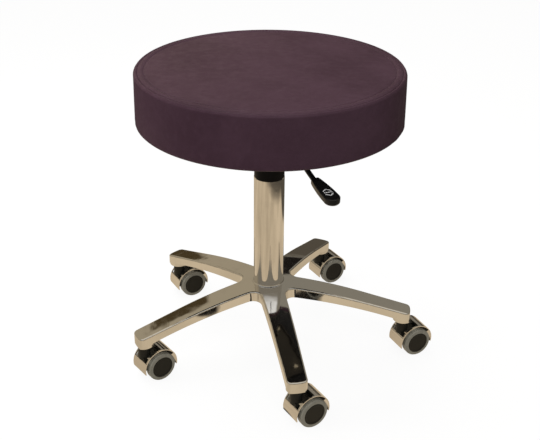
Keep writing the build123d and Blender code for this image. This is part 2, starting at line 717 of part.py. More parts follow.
def plate_screws():
    """Four hexagon-headed screws through the seat plate, as separate solids."""
    under = SEAT_BOTTOM_Z - PLATE_THICKNESS
    hexagon = RegularPolygon(SCREW_HEAD_RADIUS, 6)
    head = Pos(0, 0, under - SCREW_HEAD_HEIGHT) * extrude(hexagon, SCREW_HEAD_HEIGHT)
    return at_seat_screws(head + disc(BOLT_RADIUS, under - 1, board_top_z()))


def caster_stem():
    """Swivel stem with its ring groove, on the swivel axis."""
    body = disc(STEM_RADIUS, STEM_BOTTOM_Z, STEM_TOP_Z)
    return body - ring(STEM_RADIUS + 1, GRIP_RING_INNER, GRIP_RING_Z, GRIP_RING_Z + GRIP_RING_HEIGHT)


def grip_ring():
    """Split spring ring that holds the stem in the arm's socket."""
    body = ring(GRIP_RING_OUTER, GRIP_RING_INNER, GRIP_RING_Z, GRIP_RING_Z + GRIP_RING_HEIGHT)
    return body - block((0, 10), (-1, 1), (GRIP_RING_Z - 1, GRIP_RING_Z + GRIP_RING_HEIGHT + 1))


def on_axle(shape, side):
    """Place a shape built round Z, with Z outward, on the axle towards one side."""
    return Pos(CASTER_TRAIL, 0, WHEEL_RADIUS) * Rot(side * 90, 0, 0) * shape


def hood_sector(inner, outer, start, end, half_width):
    """Part of a tube round the axle between two angles, measured from the trail over the top."""
    span = end - start
    arc = ring(outer, inner, -half_width, half_width)
    reach = outer * 2
    fan = [(0, 0)]
    for index in range(FAN_STEPS + 1):
        angle = radians(start + span * index / FAN_STEPS)
        fan.append((reach * cos(angle), reach * sin(angle)))
    wedge = Pos(0, 0, -half_width) * extrude(make_face(Polyline(*fan, close=True)), 2 * half_width)
    return arc & wedge


def caster_hood():
    """Chromed hood round both wheels, open at the top for the stem housing, with two small tabs."""
    outer = HOOD_INNER_RADIUS + HOOD_THICKNESS
    shell = hood_sector(HOOD_INNER_RADIUS, outer, HOOD_START_ANGLE, HOOD_END_ANGLE, HOOD_HALF_WIDTH)
    opening_half = HOOD_HALF_WIDTH - HOOD_RIM
    inside = HOOD_INNER_RADIUS - 2
    opening = hood_sector(inside, outer + 2, HOOD_OPENING_START, HOOD_OPENING_END, opening_half)
    tab_start = HOOD_TAB_ANGLE - HOOD_TAB_SPAN
    tab_end = HOOD_TAB_ANGLE + HOOD_TAB_SPAN
    tab = hood_sector(inside - 1, outer + 3, tab_start, tab_end, opening_half + 1)
    tab -= disc(outer + 4, HOOD_TAB_LENGTH - opening_half, opening_half - HOOD_TAB_LENGTH)
    return on_axle(shell - (opening - tab), 1)


def caster_core():
    """Black housing between the wheels: web, stem boss and the rest for the hood."""
    web = disc(CORE_RADIUS, -CORE_HALF_WIDTH, CORE_HALF_WIDTH)
    web += hood_sector(CORE_RADIUS - 5, HOOD_INNER_RADIUS, HOOD_REST_START, HOOD_REST_END, CORE_HALF_WIDTH)
    body = on_axle(web, 1)
    neck_sides = (-CORE_BOSS_RADIUS, CORE_BOSS_RADIUS)
    body += block((-CORE_BACK, CASTER_TRAIL), neck_sides, (CORE_LOW_Z, CORE_BOSS_LOW_Z + CORE_OVERLAP))
    body += disc(CORE_BOSS_RADIUS, CORE_BOSS_LOW_Z, CORE_TOP_Z)
    reach = 2 * HOOD_INNER_RADIUS
    below_boss = block((-reach, reach), (-reach, reach), (-reach, CORE_BOSS_LOW_Z))
    body -= on_axle(ring(reach, HOOD_INNER_RADIUS, -reach, reach), 1) & below_boss
    body -= disc(STEM_RADIUS + RUNNING_CLEARANCE, STEM_BOTTOM_Z, CORE_TOP_Z + 1)
    return body - on_axle(disc(AXLE_RADIUS, -reach, reach), 1)


def caster_axle():
    """Steel axle through the housing and into both wheels."""
    return on_axle(disc(AXLE_RADIUS, -AXLE_HALF_LENGTH, AXLE_HALF_LENGTH), 1)


def wheel_core(side):
    """Black wheel body with a blind axle bore and a dished hub cap."""
    bore = AXLE_RADIUS + RUNNING_CLEARANCE
    body = turned(
        (bore, WHEEL_INNER_FACE),
        (TREAD_BORE, WHEEL_INNER_FACE),
        (TREAD_BORE, WHEEL_OUTER_FACE - CAP_CHAMFER),
        (TREAD_BORE - CAP_CHAMFER, WHEEL_OUTER_FACE),
        (TREAD_BORE - CAP_RIM_WIDTH, WHEEL_OUTER_FACE),
        (TREAD_BORE - CAP_RIM_WIDTH - CAP_CHAMFER, WHEEL_OUTER_FACE - CAP_DISH),
        (0, WHEEL_OUTER_FACE - CAP_DISH),
        (0, AXLE_HALF_LENGTH + AXLE_END_GAP),
        (bore, AXLE_HALF_LENGTH + AXLE_END_GAP),
    )
    return on_axle(body, side)


def wheel_tread(side):
    """Soft grey tread with rounded shoulders."""
    face = WHEEL_OUTER_FACE - TREAD_SET_BACK
    body = ring(WHEEL_RADIUS, TREAD_BORE, WHEEL_INNER_FACE + TREAD_SET_BACK, face)
    outer_edges = [e for e in body.edges() if e.geom_type == GeomType.CIRCLE and e.radius > WHEEL_RADIUS - 1]
    outer_edges = [e for e in outer_edges if e.is_closed]
    return on_axle(fillet(outer_edges, TREAD_SHOULDER), side)


def single_pieces():
    """Every node that is not part of one caster."""
    places = caster_places()
    return {
        "base_casting": base_casting(),
        "column_tube": column_tube(),
        "guide_bush": guide_bush(),
        "thrust_bearing": thrust_bearing(),
        "caster_stems": [place * caster_stem() for place in places],
        "stem_grip_rings": [place * grip_ring() for place in places],
        "piston_rod": piston_rod(),
        "piston_head": piston_head(),
        "bump_stop": bump_stop(),
        "rod_clip": rod_clip(),
        "pressure_tube": pressure_tube(),
        "rod_guide_seal": rod_guide_seal(),
        "release_button": release_button(),
        "taper_socket": taper_socket(),
        "seat_plate": seat_plate(),
        "lever_bushes": lever_bushes(),
        "lever_rod": lever_rod(),
        "lever_handle": lever_handle(),
        "seat_board": seat_board(),
        "seat_foam": seat_foam(),
        "seat_cover_top": seat_cover_top(),
        "seat_cover_band": seat_cover_band(),
        "dust_cover": dust_cover(),
        "tee_nuts": tee_nuts(),
        "plate_screws": plate_screws(),
    }


def caster_pieces():
    """The nodes of each caster, numbered from the first arm."""
    shapes = {
        "hood": caster_hood(),
        "core": caster_core(),
        "axle": caster_axle(),
        "wheel_a": wheel_core(1),
        "tread_a": wheel_tread(1),
        "wheel_b": wheel_core(-1),
        "tread_b": wheel_tread(-1),
    }
    pieces = {}
    for number, place in enumerate(caster_places(), start=1):
        for name, shape in shapes.items():
            pieces[f"caster_{number}_{name}"] = place * shape
    return pieces


def main():
    """Write one STEP per node."""
    os.makedirs("parts", exist_ok=True)
    for node, shape in {**single_pieces(), **caster_pieces()}.items():
        solid = Compound(children=shape) if isinstance(shape, list) else shape
        export_step(solid, f"parts/{node}.step")


if __name__ == "__main__":
    main()
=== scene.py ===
"""Looks of a dentist's stool.

A padded round seat on a gas column, a chromed five-arm base and hooded twin-wheel casters.
"""

import math
import random

import bmesh
import bpy
import numpy as np
from mathutils import Matrix, Vector


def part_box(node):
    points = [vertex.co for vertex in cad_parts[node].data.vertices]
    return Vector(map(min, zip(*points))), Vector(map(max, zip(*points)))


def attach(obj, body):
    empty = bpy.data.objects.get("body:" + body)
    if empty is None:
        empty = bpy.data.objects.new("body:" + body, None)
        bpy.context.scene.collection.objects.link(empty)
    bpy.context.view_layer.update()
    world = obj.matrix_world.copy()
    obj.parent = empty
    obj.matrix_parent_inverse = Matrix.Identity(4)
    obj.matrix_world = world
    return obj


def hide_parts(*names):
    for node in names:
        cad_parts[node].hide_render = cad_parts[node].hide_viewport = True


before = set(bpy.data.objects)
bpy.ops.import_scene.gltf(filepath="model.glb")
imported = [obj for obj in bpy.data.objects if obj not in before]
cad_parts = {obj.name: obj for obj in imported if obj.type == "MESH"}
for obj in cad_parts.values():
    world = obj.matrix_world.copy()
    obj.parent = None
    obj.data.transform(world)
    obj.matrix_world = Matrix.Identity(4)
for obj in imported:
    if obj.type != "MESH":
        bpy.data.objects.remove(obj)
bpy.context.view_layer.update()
MM = 0.001

# ---------------------------------------------------------------- camera

CAMERA_PLACE = (0.0, -1.433, 0.975)
CAMERA_LENS = 63.71
CAMERA_PITCH = math.radians(27.09)
CAMERA_YAW = math.radians(0.07)
CAMERA_ROLL = math.radians(0.53)
SENSOR_WIDTH = 36.0
CAMERA_CLIP = (0.05, 60.0)


def make_camera():
    """The photograph's camera: half a metre above the seat, looking down at the stool."""
    data = bpy.data.cameras.new("camera")
    data.lens = CAMERA_LENS
    data.sensor_width = SENSOR_WIDTH
    data.sensor_fit = "HORIZONTAL"
    data.clip_start, data.clip_end = CAMERA_CLIP
    camera = bpy.data.objects.new("camera", data)
    bpy.context.scene.collection.objects.link(camera)
    forward = Vector(
        (
            math.sin(CAMERA_YAW) * math.cos(CAMERA_PITCH),
            math.cos(CAMERA_YAW) * math.cos(CAMERA_PITCH),
            -math.sin(CAMERA_PITCH),
        )
    )
    level = Vector((math.cos(CAMERA_YAW), -math.sin(CAMERA_YAW), 0.0))
    upright = level.cross(forward)
    right = level * math.cos(CAMERA_ROLL) + upright * math.sin(CAMERA_ROLL)
    up = right.cross(forward)
    axes = Matrix((right, up, -forward)).transposed()
    camera.matrix_world = Matrix.Translation(CAMERA_PLACE) @ axes.to_4x4()
    bpy.context.scene.camera = camera


# ---------------------------------------------------------------- node helpers


def feed(tree, socket, value):
    """Link an input to another node's output, or set it to a plain value."""
    if isinstance(value, bpy.types.NodeSocket):
        tree.links.new(value, socket)
    else:
        socket.default_value = value


def node_in(tree, kind, inputs=None, **settings):
    """A new node of a tree, with its settings made and its inputs set or linked."""
    made = tree.nodes.new(kind)
    for name, value in settings.items():
        setattr(made, name, value)
    for key, value in (inputs or {}).items():
        feed(tree, made.inputs[key], value)
    return made


def opaque(colour):
    """A plain (r, g, b) with its alpha; another node's output stays as it is."""
    return colour if isinstance(colour, bpy.types.NodeSocket) else (*colour, 1.0)


def mixed_in(tree, share, a, b):
    """Colour that goes from `a` to `b` as the share goes from nought to one."""
    inputs = {0: share, 6: opaque(a), 7: opaque(b)}
    return node_in(tree, "ShaderNodeMix", inputs, data_type="RGBA").outputs[2]


def math_in(tree, kind, *values):
    """One sum of a Math node."""
    return node_in(tree, "ShaderNodeMath", dict(enumerate(values)), operation=kind).outputs[0]


def span_in(tree, value, low, high):
    """Nought at `low`, one at `high`, and a straight slope between them."""
    inputs = {0: value, 1: low, 2: high, 3: 0.0, 4: 1.0}
    return node_in(tree, "ShaderNodeMapRange", inputs).outputs[0]


def ramp_in(tree, value, stops):
    """Colour ramp with the given (position, colour) stops."""
    ramp = node_in(tree, "ShaderNodeValToRGB", {"Fac": value})
    while len(ramp.color_ramp.elements) < len(stops):
        ramp.color_ramp.elements.new(0.5)
    for element, (position, colour) in zip(ramp.color_ramp.elements, stops):
        element.position = position
        element.color = opaque(colour)
    return ramp.outputs[0]


class Finish:
    """A material with one Principled shader, and short calls that add the nodes feeding it."""

    def __init__(self, name):
        self.material = bpy.data.materials.new(name)
        self.material.use_nodes = True
        self.tree = self.material.node_tree
        self.tree.nodes.clear()
        self.shader = self.node("ShaderNodeBsdfPrincipled")
        output = self.node("ShaderNodeOutputMaterial")
        self.tree.links.new(self.shader.outputs[0], output.inputs["Surface"])
        self.place = self.node("ShaderNodeTexCoord").outputs["Object"]

    def node(self, kind, inputs=None, **settings):
        return node_in(self.tree, kind, inputs, **settings)

    def set(self, **values):
        """Set or link inputs of the shader, named as in Blender but in lower case."""
        for name, value in values.items():
            title = name.replace("_", " ").title().replace("Ior", "IOR")
            feed(self.tree, self.shader.inputs[title], value)

    def stretched(self, x, y, z):
        """Object coordinates, each axis scaled by its own factor."""
        return self.node("ShaderNodeMapping", {"Vector": self.place, "Scale": (x, y, z)}).outputs[0]

    def noise(self, scale, detail=3.0, roughness=0.5, distortion=0.0, at=None):
        """Noise with `scale` cells to the metre."""
        inputs = {"Vector": at or self.place, "Scale": scale, "Detail": detail}
        inputs |= {"Roughness": roughness, "Distortion": distortion}
        return self.node("ShaderNodeTexNoise", inputs).outputs[0]

    def cells(self, scale, feature="F1", at=None):
        """Distance within the cells of a Voronoi texture."""
        inputs = {"Vector": at or self.place, "Scale": scale}
        return self.node("ShaderNodeTexVoronoi", inputs, feature=feature).outputs["Distance"]

    def span(self, value, low, high, to_low=0.0, to_high=1.0):
        """A smooth step from `to_low` to `to_high` as the value goes from `low` to `high`."""
        inputs = {0: value, 1: low, 2: high, 3: to_low, 4: to_high}
        made = self.node("ShaderNodeMapRange", inputs, interpolation_type="SMOOTHSTEP")
        return made.outputs[0]

    def sums(self, kind, *values):
        return math_in(self.tree, kind, *values)

    def blend(self, share, a, b):
        return mixed_in(self.tree, share, a, b)

    def bump(self, height, distance, strength=1.0, after=None):
        """Normal bent by a height, on top of the normal `after`."""
        inputs = {"Height": height, "Distance": distance, "Strength": strength}
        if after is not None:
            inputs["Normal"] = after
        return self.node("ShaderNodeBump", inputs).outputs[0]


# ---------------------------------------------------------------- materials

HANDLED_SHARE = 0.86
CHROME_PIT = (0.35, 0.31, 0.27)
STEEL_STAIN = (0.30, 0.26, 0.22)
PAINT_CHIP = (0.10, 0.10, 0.10)


def chrome(name, tint, rough, ripple):
    """Plated metal: faint handling marks, hairline scratches, and a slow ripple under the plate."""
    f = Finish(name)
    smudge = f.span(f.noise(38.0, 5.0, 0.6), 0.45, 0.75)
    hairline = f.span(f.noise(260.0, 2.0, 0.5, at=f.stretched(1.0, 0.12, 0.5)), 0.6, 0.8)
    pits = f.span(f.cells(420.0), 0.0, 0.12, 1.0, 0.0)
    handled = tuple(HANDLED_SHARE * c for c in tint)
    colour = f.blend(f.sums("MULTIPLY", smudge, 0.35), tint, handled)
    colour = f.blend(f.sums("MULTIPLY", pits, 0.25), colour, CHROME_PIT)
    roughness = f.sums("MULTIPLY_ADD", smudge, 0.07, rough)
    rippled = f.bump(f.noise(22.0, 2.0), ripple)
    f.set(
        base_color=colour,
        metallic=1.0,
        roughness=f.sums("ADD", roughness, f.sums("MULTIPLY", hairline, 0.05)),
        normal=f.bump(hairline, 0.02 * MM, 0.4, rippled),
    )
    return f.material


def plastic(name, colour, rough, grain=1400.0, depth=0.06, worn=0.35, shine=0.5):
    """Moulded plastic with a spark-eroded grain, fine dust in it and slightly polished patches."""
    f = Finish(name)
    dust = f.span(f.noise(60.0, 6.0, 0.65), 0.48, 0.78)
    polish = f.span(f.noise(24.0, 3.0), 0.4, 0.7)
    lighter = tuple(min(1.0, c * 1.9 + 0.006) for c in colour)
    wavy = f.bump(f.noise(70.0, 2.0), 0.1 * MM, 0.5)
    f.set(
        base_color=f.blend(f.sums("MULTIPLY", dust, worn), colour, lighter),
        roughness=f.span(polish, 0.0, 1.0, rough + 0.07, rough - 0.07),
        normal=f.bump(f.noise(grain, 2.0, 0.7), depth * MM, 0.8, wavy),
        specular_ior_level=shine,
    )
    return f.material


def steel(name, colour, rough, brushed=(1.0, 1.0, 0.1), stain=STEEL_STAIN):
    """Machined or plated steel with fine turning marks and a few dull stains."""
    f = Finish(name)
    marks = f.noise(900.0, 2.0, 0.6, at=f.stretched(*brushed))
    stains = f.span(f.noise(90.0, 5.0, 0.6), 0.52, 0.78)
    f.set(
        base_color=f.blend(f.sums("MULTIPLY", stains, 0.4), colour, stain),
        metallic=1.0,
        roughness=f.span(stains, 0.0, 1.0, rough, rough + 0.2),
        normal=f.bump(marks, 0.03 * MM, 0.7),
    )
    return f.material


def powder_coat(name, colour):
    """Baked powder paint with its orange-peel skin."""
    f = Finish(name)
    chips = f.span(f.noise(120.0, 6.0, 0.7), 0.66, 0.74)
    f.set(
        base_color=f.blend(f.sums("MULTIPLY", chips, 0.5), colour, PAINT_CHIP),
        roughness=f.span(f.noise(45.0, 3.0), 0.3, 0.7, 0.32, 0.45),
        normal=f.bump(f.noise(520.0, 1.0, 0.4), 0.12 * MM, 0.7),
    )
    return f.material


VINYL_DARK = (0.056, 0.0245, 0.040)
VINYL_LIGHT = (0.078, 0.037, 0.057)
VINYL_WORN = (0.100, 0.050, 0.078)
VINYL_CREASE_SHADE = (0.032, 0.012, 0.022)
PEBBLES_PER_METRE = 760.0
PEBBLE_BEND = (0.9 * MM,) * 3


def faux_leather():
    """Plum vinyl: a pebbled grain, fine creases between the pebbles with painted shade in them, and
    broad changes of tone.
    """
    f = Finish("seat_vinyl")
    inputs = {0: f.noise(140.0, 2.0), 1: PEBBLE_BEND, 2: f.place}
    bent = f.node("ShaderNodeVectorMath", inputs, operation="MULTIPLY_ADD").outputs[0]
    pebbles = f.cells(PEBBLES_PER_METRE, "SMOOTH_F1", at=bent)
    creases = f.span(f.cells(PEBBLES_PER_METRE, "DISTANCE_TO_EDGE", at=bent), 0.0, 0.16)
    pores = f.span(f.noise(2600.0, 2.0, 0.6), 0.35, 0.65)
    broad = f.noise(7.0, 3.0, 0.55)
    mottle = f.noise(85.0, 4.0, 0.6)
    colour = f.blend(f.span(broad, 0.35, 0.68), VINYL_DARK, VINYL_LIGHT)
    colour = f.blend(f.span(mottle, 0.4, 0.8, 0.0, 0.3), colour, VINYL_WORN)
    # painted shade: the colour darkens in the grooves between the pebbles
    between = f.sums("SUBTRACT", 1.0, creases)
    colour = f.blend(f.sums("MULTIPLY", between, 0.45), colour, VINYL_CREASE_SHADE)
    height = f.sums("ADD", f.sums("MULTIPLY", creases, 0.7), f.sums("MULTIPLY", pebbles, -0.35))
    dimpled = f.bump(f.noise(30.0, 2.0), 0.5 * MM, 0.35, f.bump(pores, 0.02 * MM, 0.5))
    f.set(
        base_color=colour,
        roughness=f.span(mottle, 0.3, 0.75, 0.50, 0.40),
        normal=f.bump(height, 0.09 * MM, 0.75, dimpled),
        specular_ior_level=0.25,
    )
    return f.material


FELT_DARK = (0.006, 0.006, 0.006)
FELT_LIGHT = (0.026, 0.025, 0.026)
FELT_DUST = (0.06, 0.057, 0.055)


def felt():
    """Black non-woven felt: matted fibres in two directions, with pale dust in them."""
    f = Finish("dust_felt")
    along = f.noise(900.0, 3.0, 0.7, at=f.stretched(1.0, 0.15, 1.0))
    across = f.noise(900.0, 3.0, 0.7, at=f.stretched(0.15, 1.0, 1.0))
    fibres = f.sums("MAXIMUM", along, across)
    dust = f.span(f.noise(45.0, 5.0, 0.7), 0.5, 0.8)
    colour = f.blend(f.span(fibres, 0.45, 0.75), FELT_DARK, FELT_LIGHT)
    f.set(
        base_color=f.blend(f.sums("MULTIPLY", dust, 0.3), colour, FELT_DUST),
        roughness=f.span(fibres, 0.3, 0.8, 0.98, 0.86),
        normal=f.bump(fibres, 0.4 * MM, 0.8),
        sheen_weight=0.15,
    )
    return f.material


TREAD_TINT = (0.270, 0.255, 0.205)
TREAD_DIRT = tuple(0.5 * c for c in TREAD_TINT)
TREAD_SCUFF = (0.42, 0.40, 0.36)


def tread():
    """Grey polyurethane tread, scuffed and a little dirty."""
    f = Finish("tread_grey")
    dirt = f.span(f.noise(110.0, 6.0, 0.65), 0.45, 0.75)
    scuffs = f.span(f.noise(300.0, 3.0, 0.6, at=f.stretched(1.0, 0.2, 1.0)), 0.55, 0.8)
    colour = f.blend(f.sums("MULTIPLY", dirt, 0.5), TREAD_TINT, TREAD_DIRT)
    f.set(
        base_color=f.blend(f.sums("MULTIPLY", scuffs, 0.25), colour, TREAD_SCUFF),
        roughness=f.span(dirt, 0.0, 1.0, 0.30, 0.5),
        normal=f.bump(f.noise(700.0, 3.0, 0.6), 0.06 * MM, 0.6),
    )
    return f.material


FOAM_HOLE_SHADE = (0.30, 0.24, 0.12)
FOAM_WALL = (0.72, 0.62, 0.38)


def foam():
    """Cut polyurethane foam: open cells of two sizes, with painted shade in their holes."""
    f = Finish("foam")
    cells = f.sums("MINIMUM", f.cells(700.0), f.cells(1500.0))
    # painted shade: the colour darkens towards each cell's hole
    f.set(
        base_color=f.blend(f.span(cells, 0.1, 0.6), FOAM_HOLE_SHADE, FOAM_WALL),
        roughness=0.9,
        normal=f.bump(cells, 0.6 * MM, 0.8),
    )
    return f.material


VENEER_PALE = (0.62, 0.47, 0.29)
VENEER_DARK = (0.40, 0.27, 0.14)
GLUE_LINE = (0.14, 0.08, 0.045)


def plywood():
    """Poplar plywood: veneer grain on the faces and darker glue lines through the edge."""
    f = Finish("plywood")
    grain = f.noise(70.0, 6.0, 0.6, 0.4, at=f.stretched(1.0, 0.06, 1.0))
    waves = {"Vector": f.place, "Scale": 130.0, "Distortion": 0.4}
    plies = f.node("ShaderNodeTexWave", waves, bands_direction="Z").outputs["Fac"]
    colour = f.blend(f.span(grain, 0.3, 0.7), VENEER_PALE, VENEER_DARK)
    f.set(
        base_color=f.blend(f.span(plies, 0.8, 1.0, 0.0, 0.5), colour, GLUE_LINE),
        roughness=f.span(grain, 0.3, 0.7, 0.55, 0.75),
        normal=f.bump(grain, 0.2 * MM, 0.6),
    )
    return f.material


THREAD_DARK = (0.050, 0.022, 0.032)
THREAD_LIGHT = (0.13, 0.075, 0.095)


def thread():
    """Twisted polyester thread, close to the vinyl's colour."""
    f = Finish("seam_thread")
    twist = f.noise(1500.0, 2.0, 0.6)
    f.set(
        base_color=f.blend(f.span(twist, 0.35, 0.65), THREAD_DARK, THREAD_LIGHT),
        roughness=0.5,
        normal=f.bump(twist, 0.12 * MM, 0.8),
    )
    return f.material


INK_WHITE = (0.95, 0.95, 0.94)
INK_BROKEN = (0.30, 0.30, 0.30)


def print_ink():
    """Pad-printed white ink, slightly broken by the grain under it."""
    f = Finish("print_ink")
    holes = f.span(f.noise(900.0, 4.0, 0.7), 0.62, 0.72)
    f.set(
        base_color=f.blend(f.sums("MULTIPLY", holes, 0.5), INK_WHITE, INK_BROKEN),
        roughness=f.span(f.noise(200.0, 3.0), 0.3, 0.7, 0.4, 0.6),
        normal=f.bump(f.noise(1400.0, 2.0), 0.03 * MM, 0.5),
    )
    return f.material


def plain_name(material):
    """A material's name without the number that Blender adds to a repeated one."""
    return material.name.split(".")[0]


def make_materials():
    """One material for each of the record's slots, and the two that only Blender pieces use."""
    made = [
        chrome("base_chrome", tint=(0.80, 0.79, 0.77), rough=0.045, ripple=0.35 * MM),
        chrome("column_chrome", tint=(0.82, 0.80, 0.78), rough=0.050, ripple=0.12 * MM),
        chrome("hood_chrome", tint=(0.78, 0.76, 0.74), rough=0.060, ripple=0.15 * MM),
        faux_leather(),
        felt(),
        foam(),
        plywood(),
        tread(),
        plastic("black_plastic", (0.003, 0.003, 0.003), rough=0.42, shine=0.15),
        plastic("handle_plastic", (0.006, 0.006, 0.006), rough=0.25, grain=1100.0),
        plastic(
            "caster_plastic",
            (0.010, 0.0098, 0.0075),
            rough=0.38,
            grain=1200.0,
            depth=0.07,
            shine=0.25,
        ),
        powder_coat("black_paint", (0.008, 0.008, 0.008)),
        plastic(
            "black_rubber",
            (0.012, 0.012, 0.012),
            rough=0.72,
            grain=800.0,
            depth=0.1,
            shine=0.3,
        ),
        plastic("nylon", (0.62, 0.60, 0.54), rough=0.45, grain=1000.0, depth=0.04, worn=0.2),
        steel("bearing_steel", (0.60, 0.59, 0.57), rough=0.20),
        steel(
            "zinc_steel",
            (0.62, 0.62, 0.58),
            rough=0.30,
            brushed=(1.0, 1.0, 1.0),
            stain=(0.46, 0.42, 0.28),
        ),
        thread(),
        print_ink(),
    ]
    return {plain_name(material): material for material in made}


def dress_frame(materials):
    """Each CAD node takes the material of its own slot."""
    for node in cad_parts.values():
        node.data.materials[0] = materials[plain_name(node.data.materials[0])]


# ---------------------------------------------------------------- mesh helpers


def add_mesh(name, points, faces, material, body=None, smooth=True):
    """A new mesh object from points in metres."""
    mesh = bpy.data.meshes.new(name)
    mesh.from_pydata([tuple(p) for p in points], [], faces)
    mesh.update()
    mesh.materials.append(material)
    mesh.polygons.foreach_set("use_smooth", [smooth] * len(mesh.polygons))
    made = bpy.data.objects.new(name, mesh)
    bpy.context.scene.collection.objects.link(made)
    if body:
        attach(made, body)
    return made


def ring_faces(rows, columns, first=0):
    """Quads between rows of points that each close round the axis."""
    faces = []
    for row in range(rows - 1):
        for k in range(columns):
            after = (k + 1) % columns
            low, high = first + row * columns, first + (row + 1) * columns
            faces.append((low + k, low + after, high + after, high + k))
    return faces


def face_outward(mesh):
    """Turn all the faces of a mesh outward."""
    shape = bmesh.new()
    shape.from_mesh(mesh)
    bmesh.ops.recalc_face_normals(shape, faces=shape.faces)
    shape.to_mesh(mesh)
    shape.free()


def bell(distance, width):
    """A smooth hump, 1 at its middle."""
    return np.exp(-((np.asarray(distance) / width) ** 2))


def turned_from(angles, start):
    """How far each angle is turned from `start`, between minus and plus half a turn."""
    return (angles - start + math.pi) % math.tau - math.pi


# ---------------------------------------------------------------- upholstery
# Lengths here, in the underside and in the lever print are in millimetres.

RIM_RADIUS = 212.5
RIM_Z = 509.0
CROWN = 3.5
CROWN_TOP = 512.2
SEAM_RADIUS = 206.5
STITCH_RADIUS = 196.0
FLARE = 1.2
EDGE_RADIUS = 4.5
HEM_RADIUS = 192.5
UNDER_Z = 425.6
UNDER_CORNER = 4.0
JOIN_ANGLE = math.radians(97.0)
VINYL_THICKNESS = 1.0
COVER_COLUMNS = 300
PUFF_CAP = 2.2
SIDE_CAP = 1.2
SIM_COLUMNS = 96
SIM_FRAMES = 16
SMOOTH_WAVES = 30
# (radius, height, width) of each ring that the seams sink into the crown or raise from it
CROWN_RINGS = (
    (STITCH_RADIUS, -0.75, 1.3),
    (SEAM_RADIUS, -0.7, 0.9),
    (201.5, 0.9, 3.0),
    (209.4, 0.7, 1.5),
)
SIDE_WAVE, HEM_WAVE, RIM_WAVE, CROWN_WAVE = 0.30, 0.42, 0.16, 0.22
PLEATS, PLEAT_WIDTH, PLEAT_DEPTH = 74, 0.012, 1.1
STITCH_COUNT, STITCH_LENGTH, STITCH_THICK = 290, 3.1, 0.36
JOIN_SINK, JOIN_SINK_WIDTH = 1.1, 0.75
JOIN_LIP, JOIN_LIP_OFF, JOIN_LIP_WIDTH = 0.35, 2.6, 1.5
JOIN_STITCH_OFF, JOIN_STITCH_LENGTH, JOIN_STITCH_THICK = 2.9, 2.9, 0.34


def crown_z(radius):
    """Height of the seat's shallow crown."""
    return np.minimum(CROWN_TOP, RIM_Z + CROWN * (1 - (np.asarray(radius) / RIM_RADIUS) ** 2))


def cover_profile():
    """(radius, height) down the cover from near its middle to the hem, and the seam's row."""
    radii = list(np.linspace(5.0, 189.0, 24)) + list(np.linspace(190.5, SEAM_RADIUS, 30))
    points = [(r, float(crown_z(r))) for r in radii]
    seam_row = len(points) - 1
    points += [(SEAM_RADIUS + out, float(crown_z(SEAM_RADIUS + out))) for out in (0.3, 0.6, 1.0)]
    corner_r, corner_z = RIM_RADIUS - EDGE_RADIUS, RIM_Z - EDGE_RADIUS
    for turn in np.linspace(90.0, 0.0, 11):
        a = math.radians(turn)
        points.append((corner_r + EDGE_RADIUS * math.cos(a), corner_z + EDGE_RADIUS * math.sin(a)))
    low_z = UNDER_Z + UNDER_CORNER
    for z in np.linspace(corner_z, low_z, 18)[1:]:
        points.append((RIM_RADIUS + FLARE * (corner_z - z) / (corner_z - low_z), z))
    low_r = RIM_RADIUS + FLARE - UNDER_CORNER
    for turn in np.linspace(0.0, -90.0, 7)[1:]:
        a = math.radians(turn)
        points.append((low_r + UNDER_CORNER * math.cos(a), low_z + UNDER_CORNER * math.sin(a)))
    points += [(r, UNDER_Z) for r in np.linspace(low_r, HEM_RADIUS, 11)[1:]]
    return np.array(points), seam_row


def revolved(profile, angles):
    """Grid of points, rows by angles, from a profile turned round the seat's axis."""
    r, z = profile[:, 0][:, None], profile[:, 1][:, None]
    return np.stack([r * np.cos(angles), r * np.sin(angles), z + 0 * angles], axis=2)


def along(profile):
    """Distance down the profile to each of its points."""
    steps = np.hypot(*np.diff(profile, axis=0).T)
    return np.concatenate([[0.0], np.cumsum(steps)])


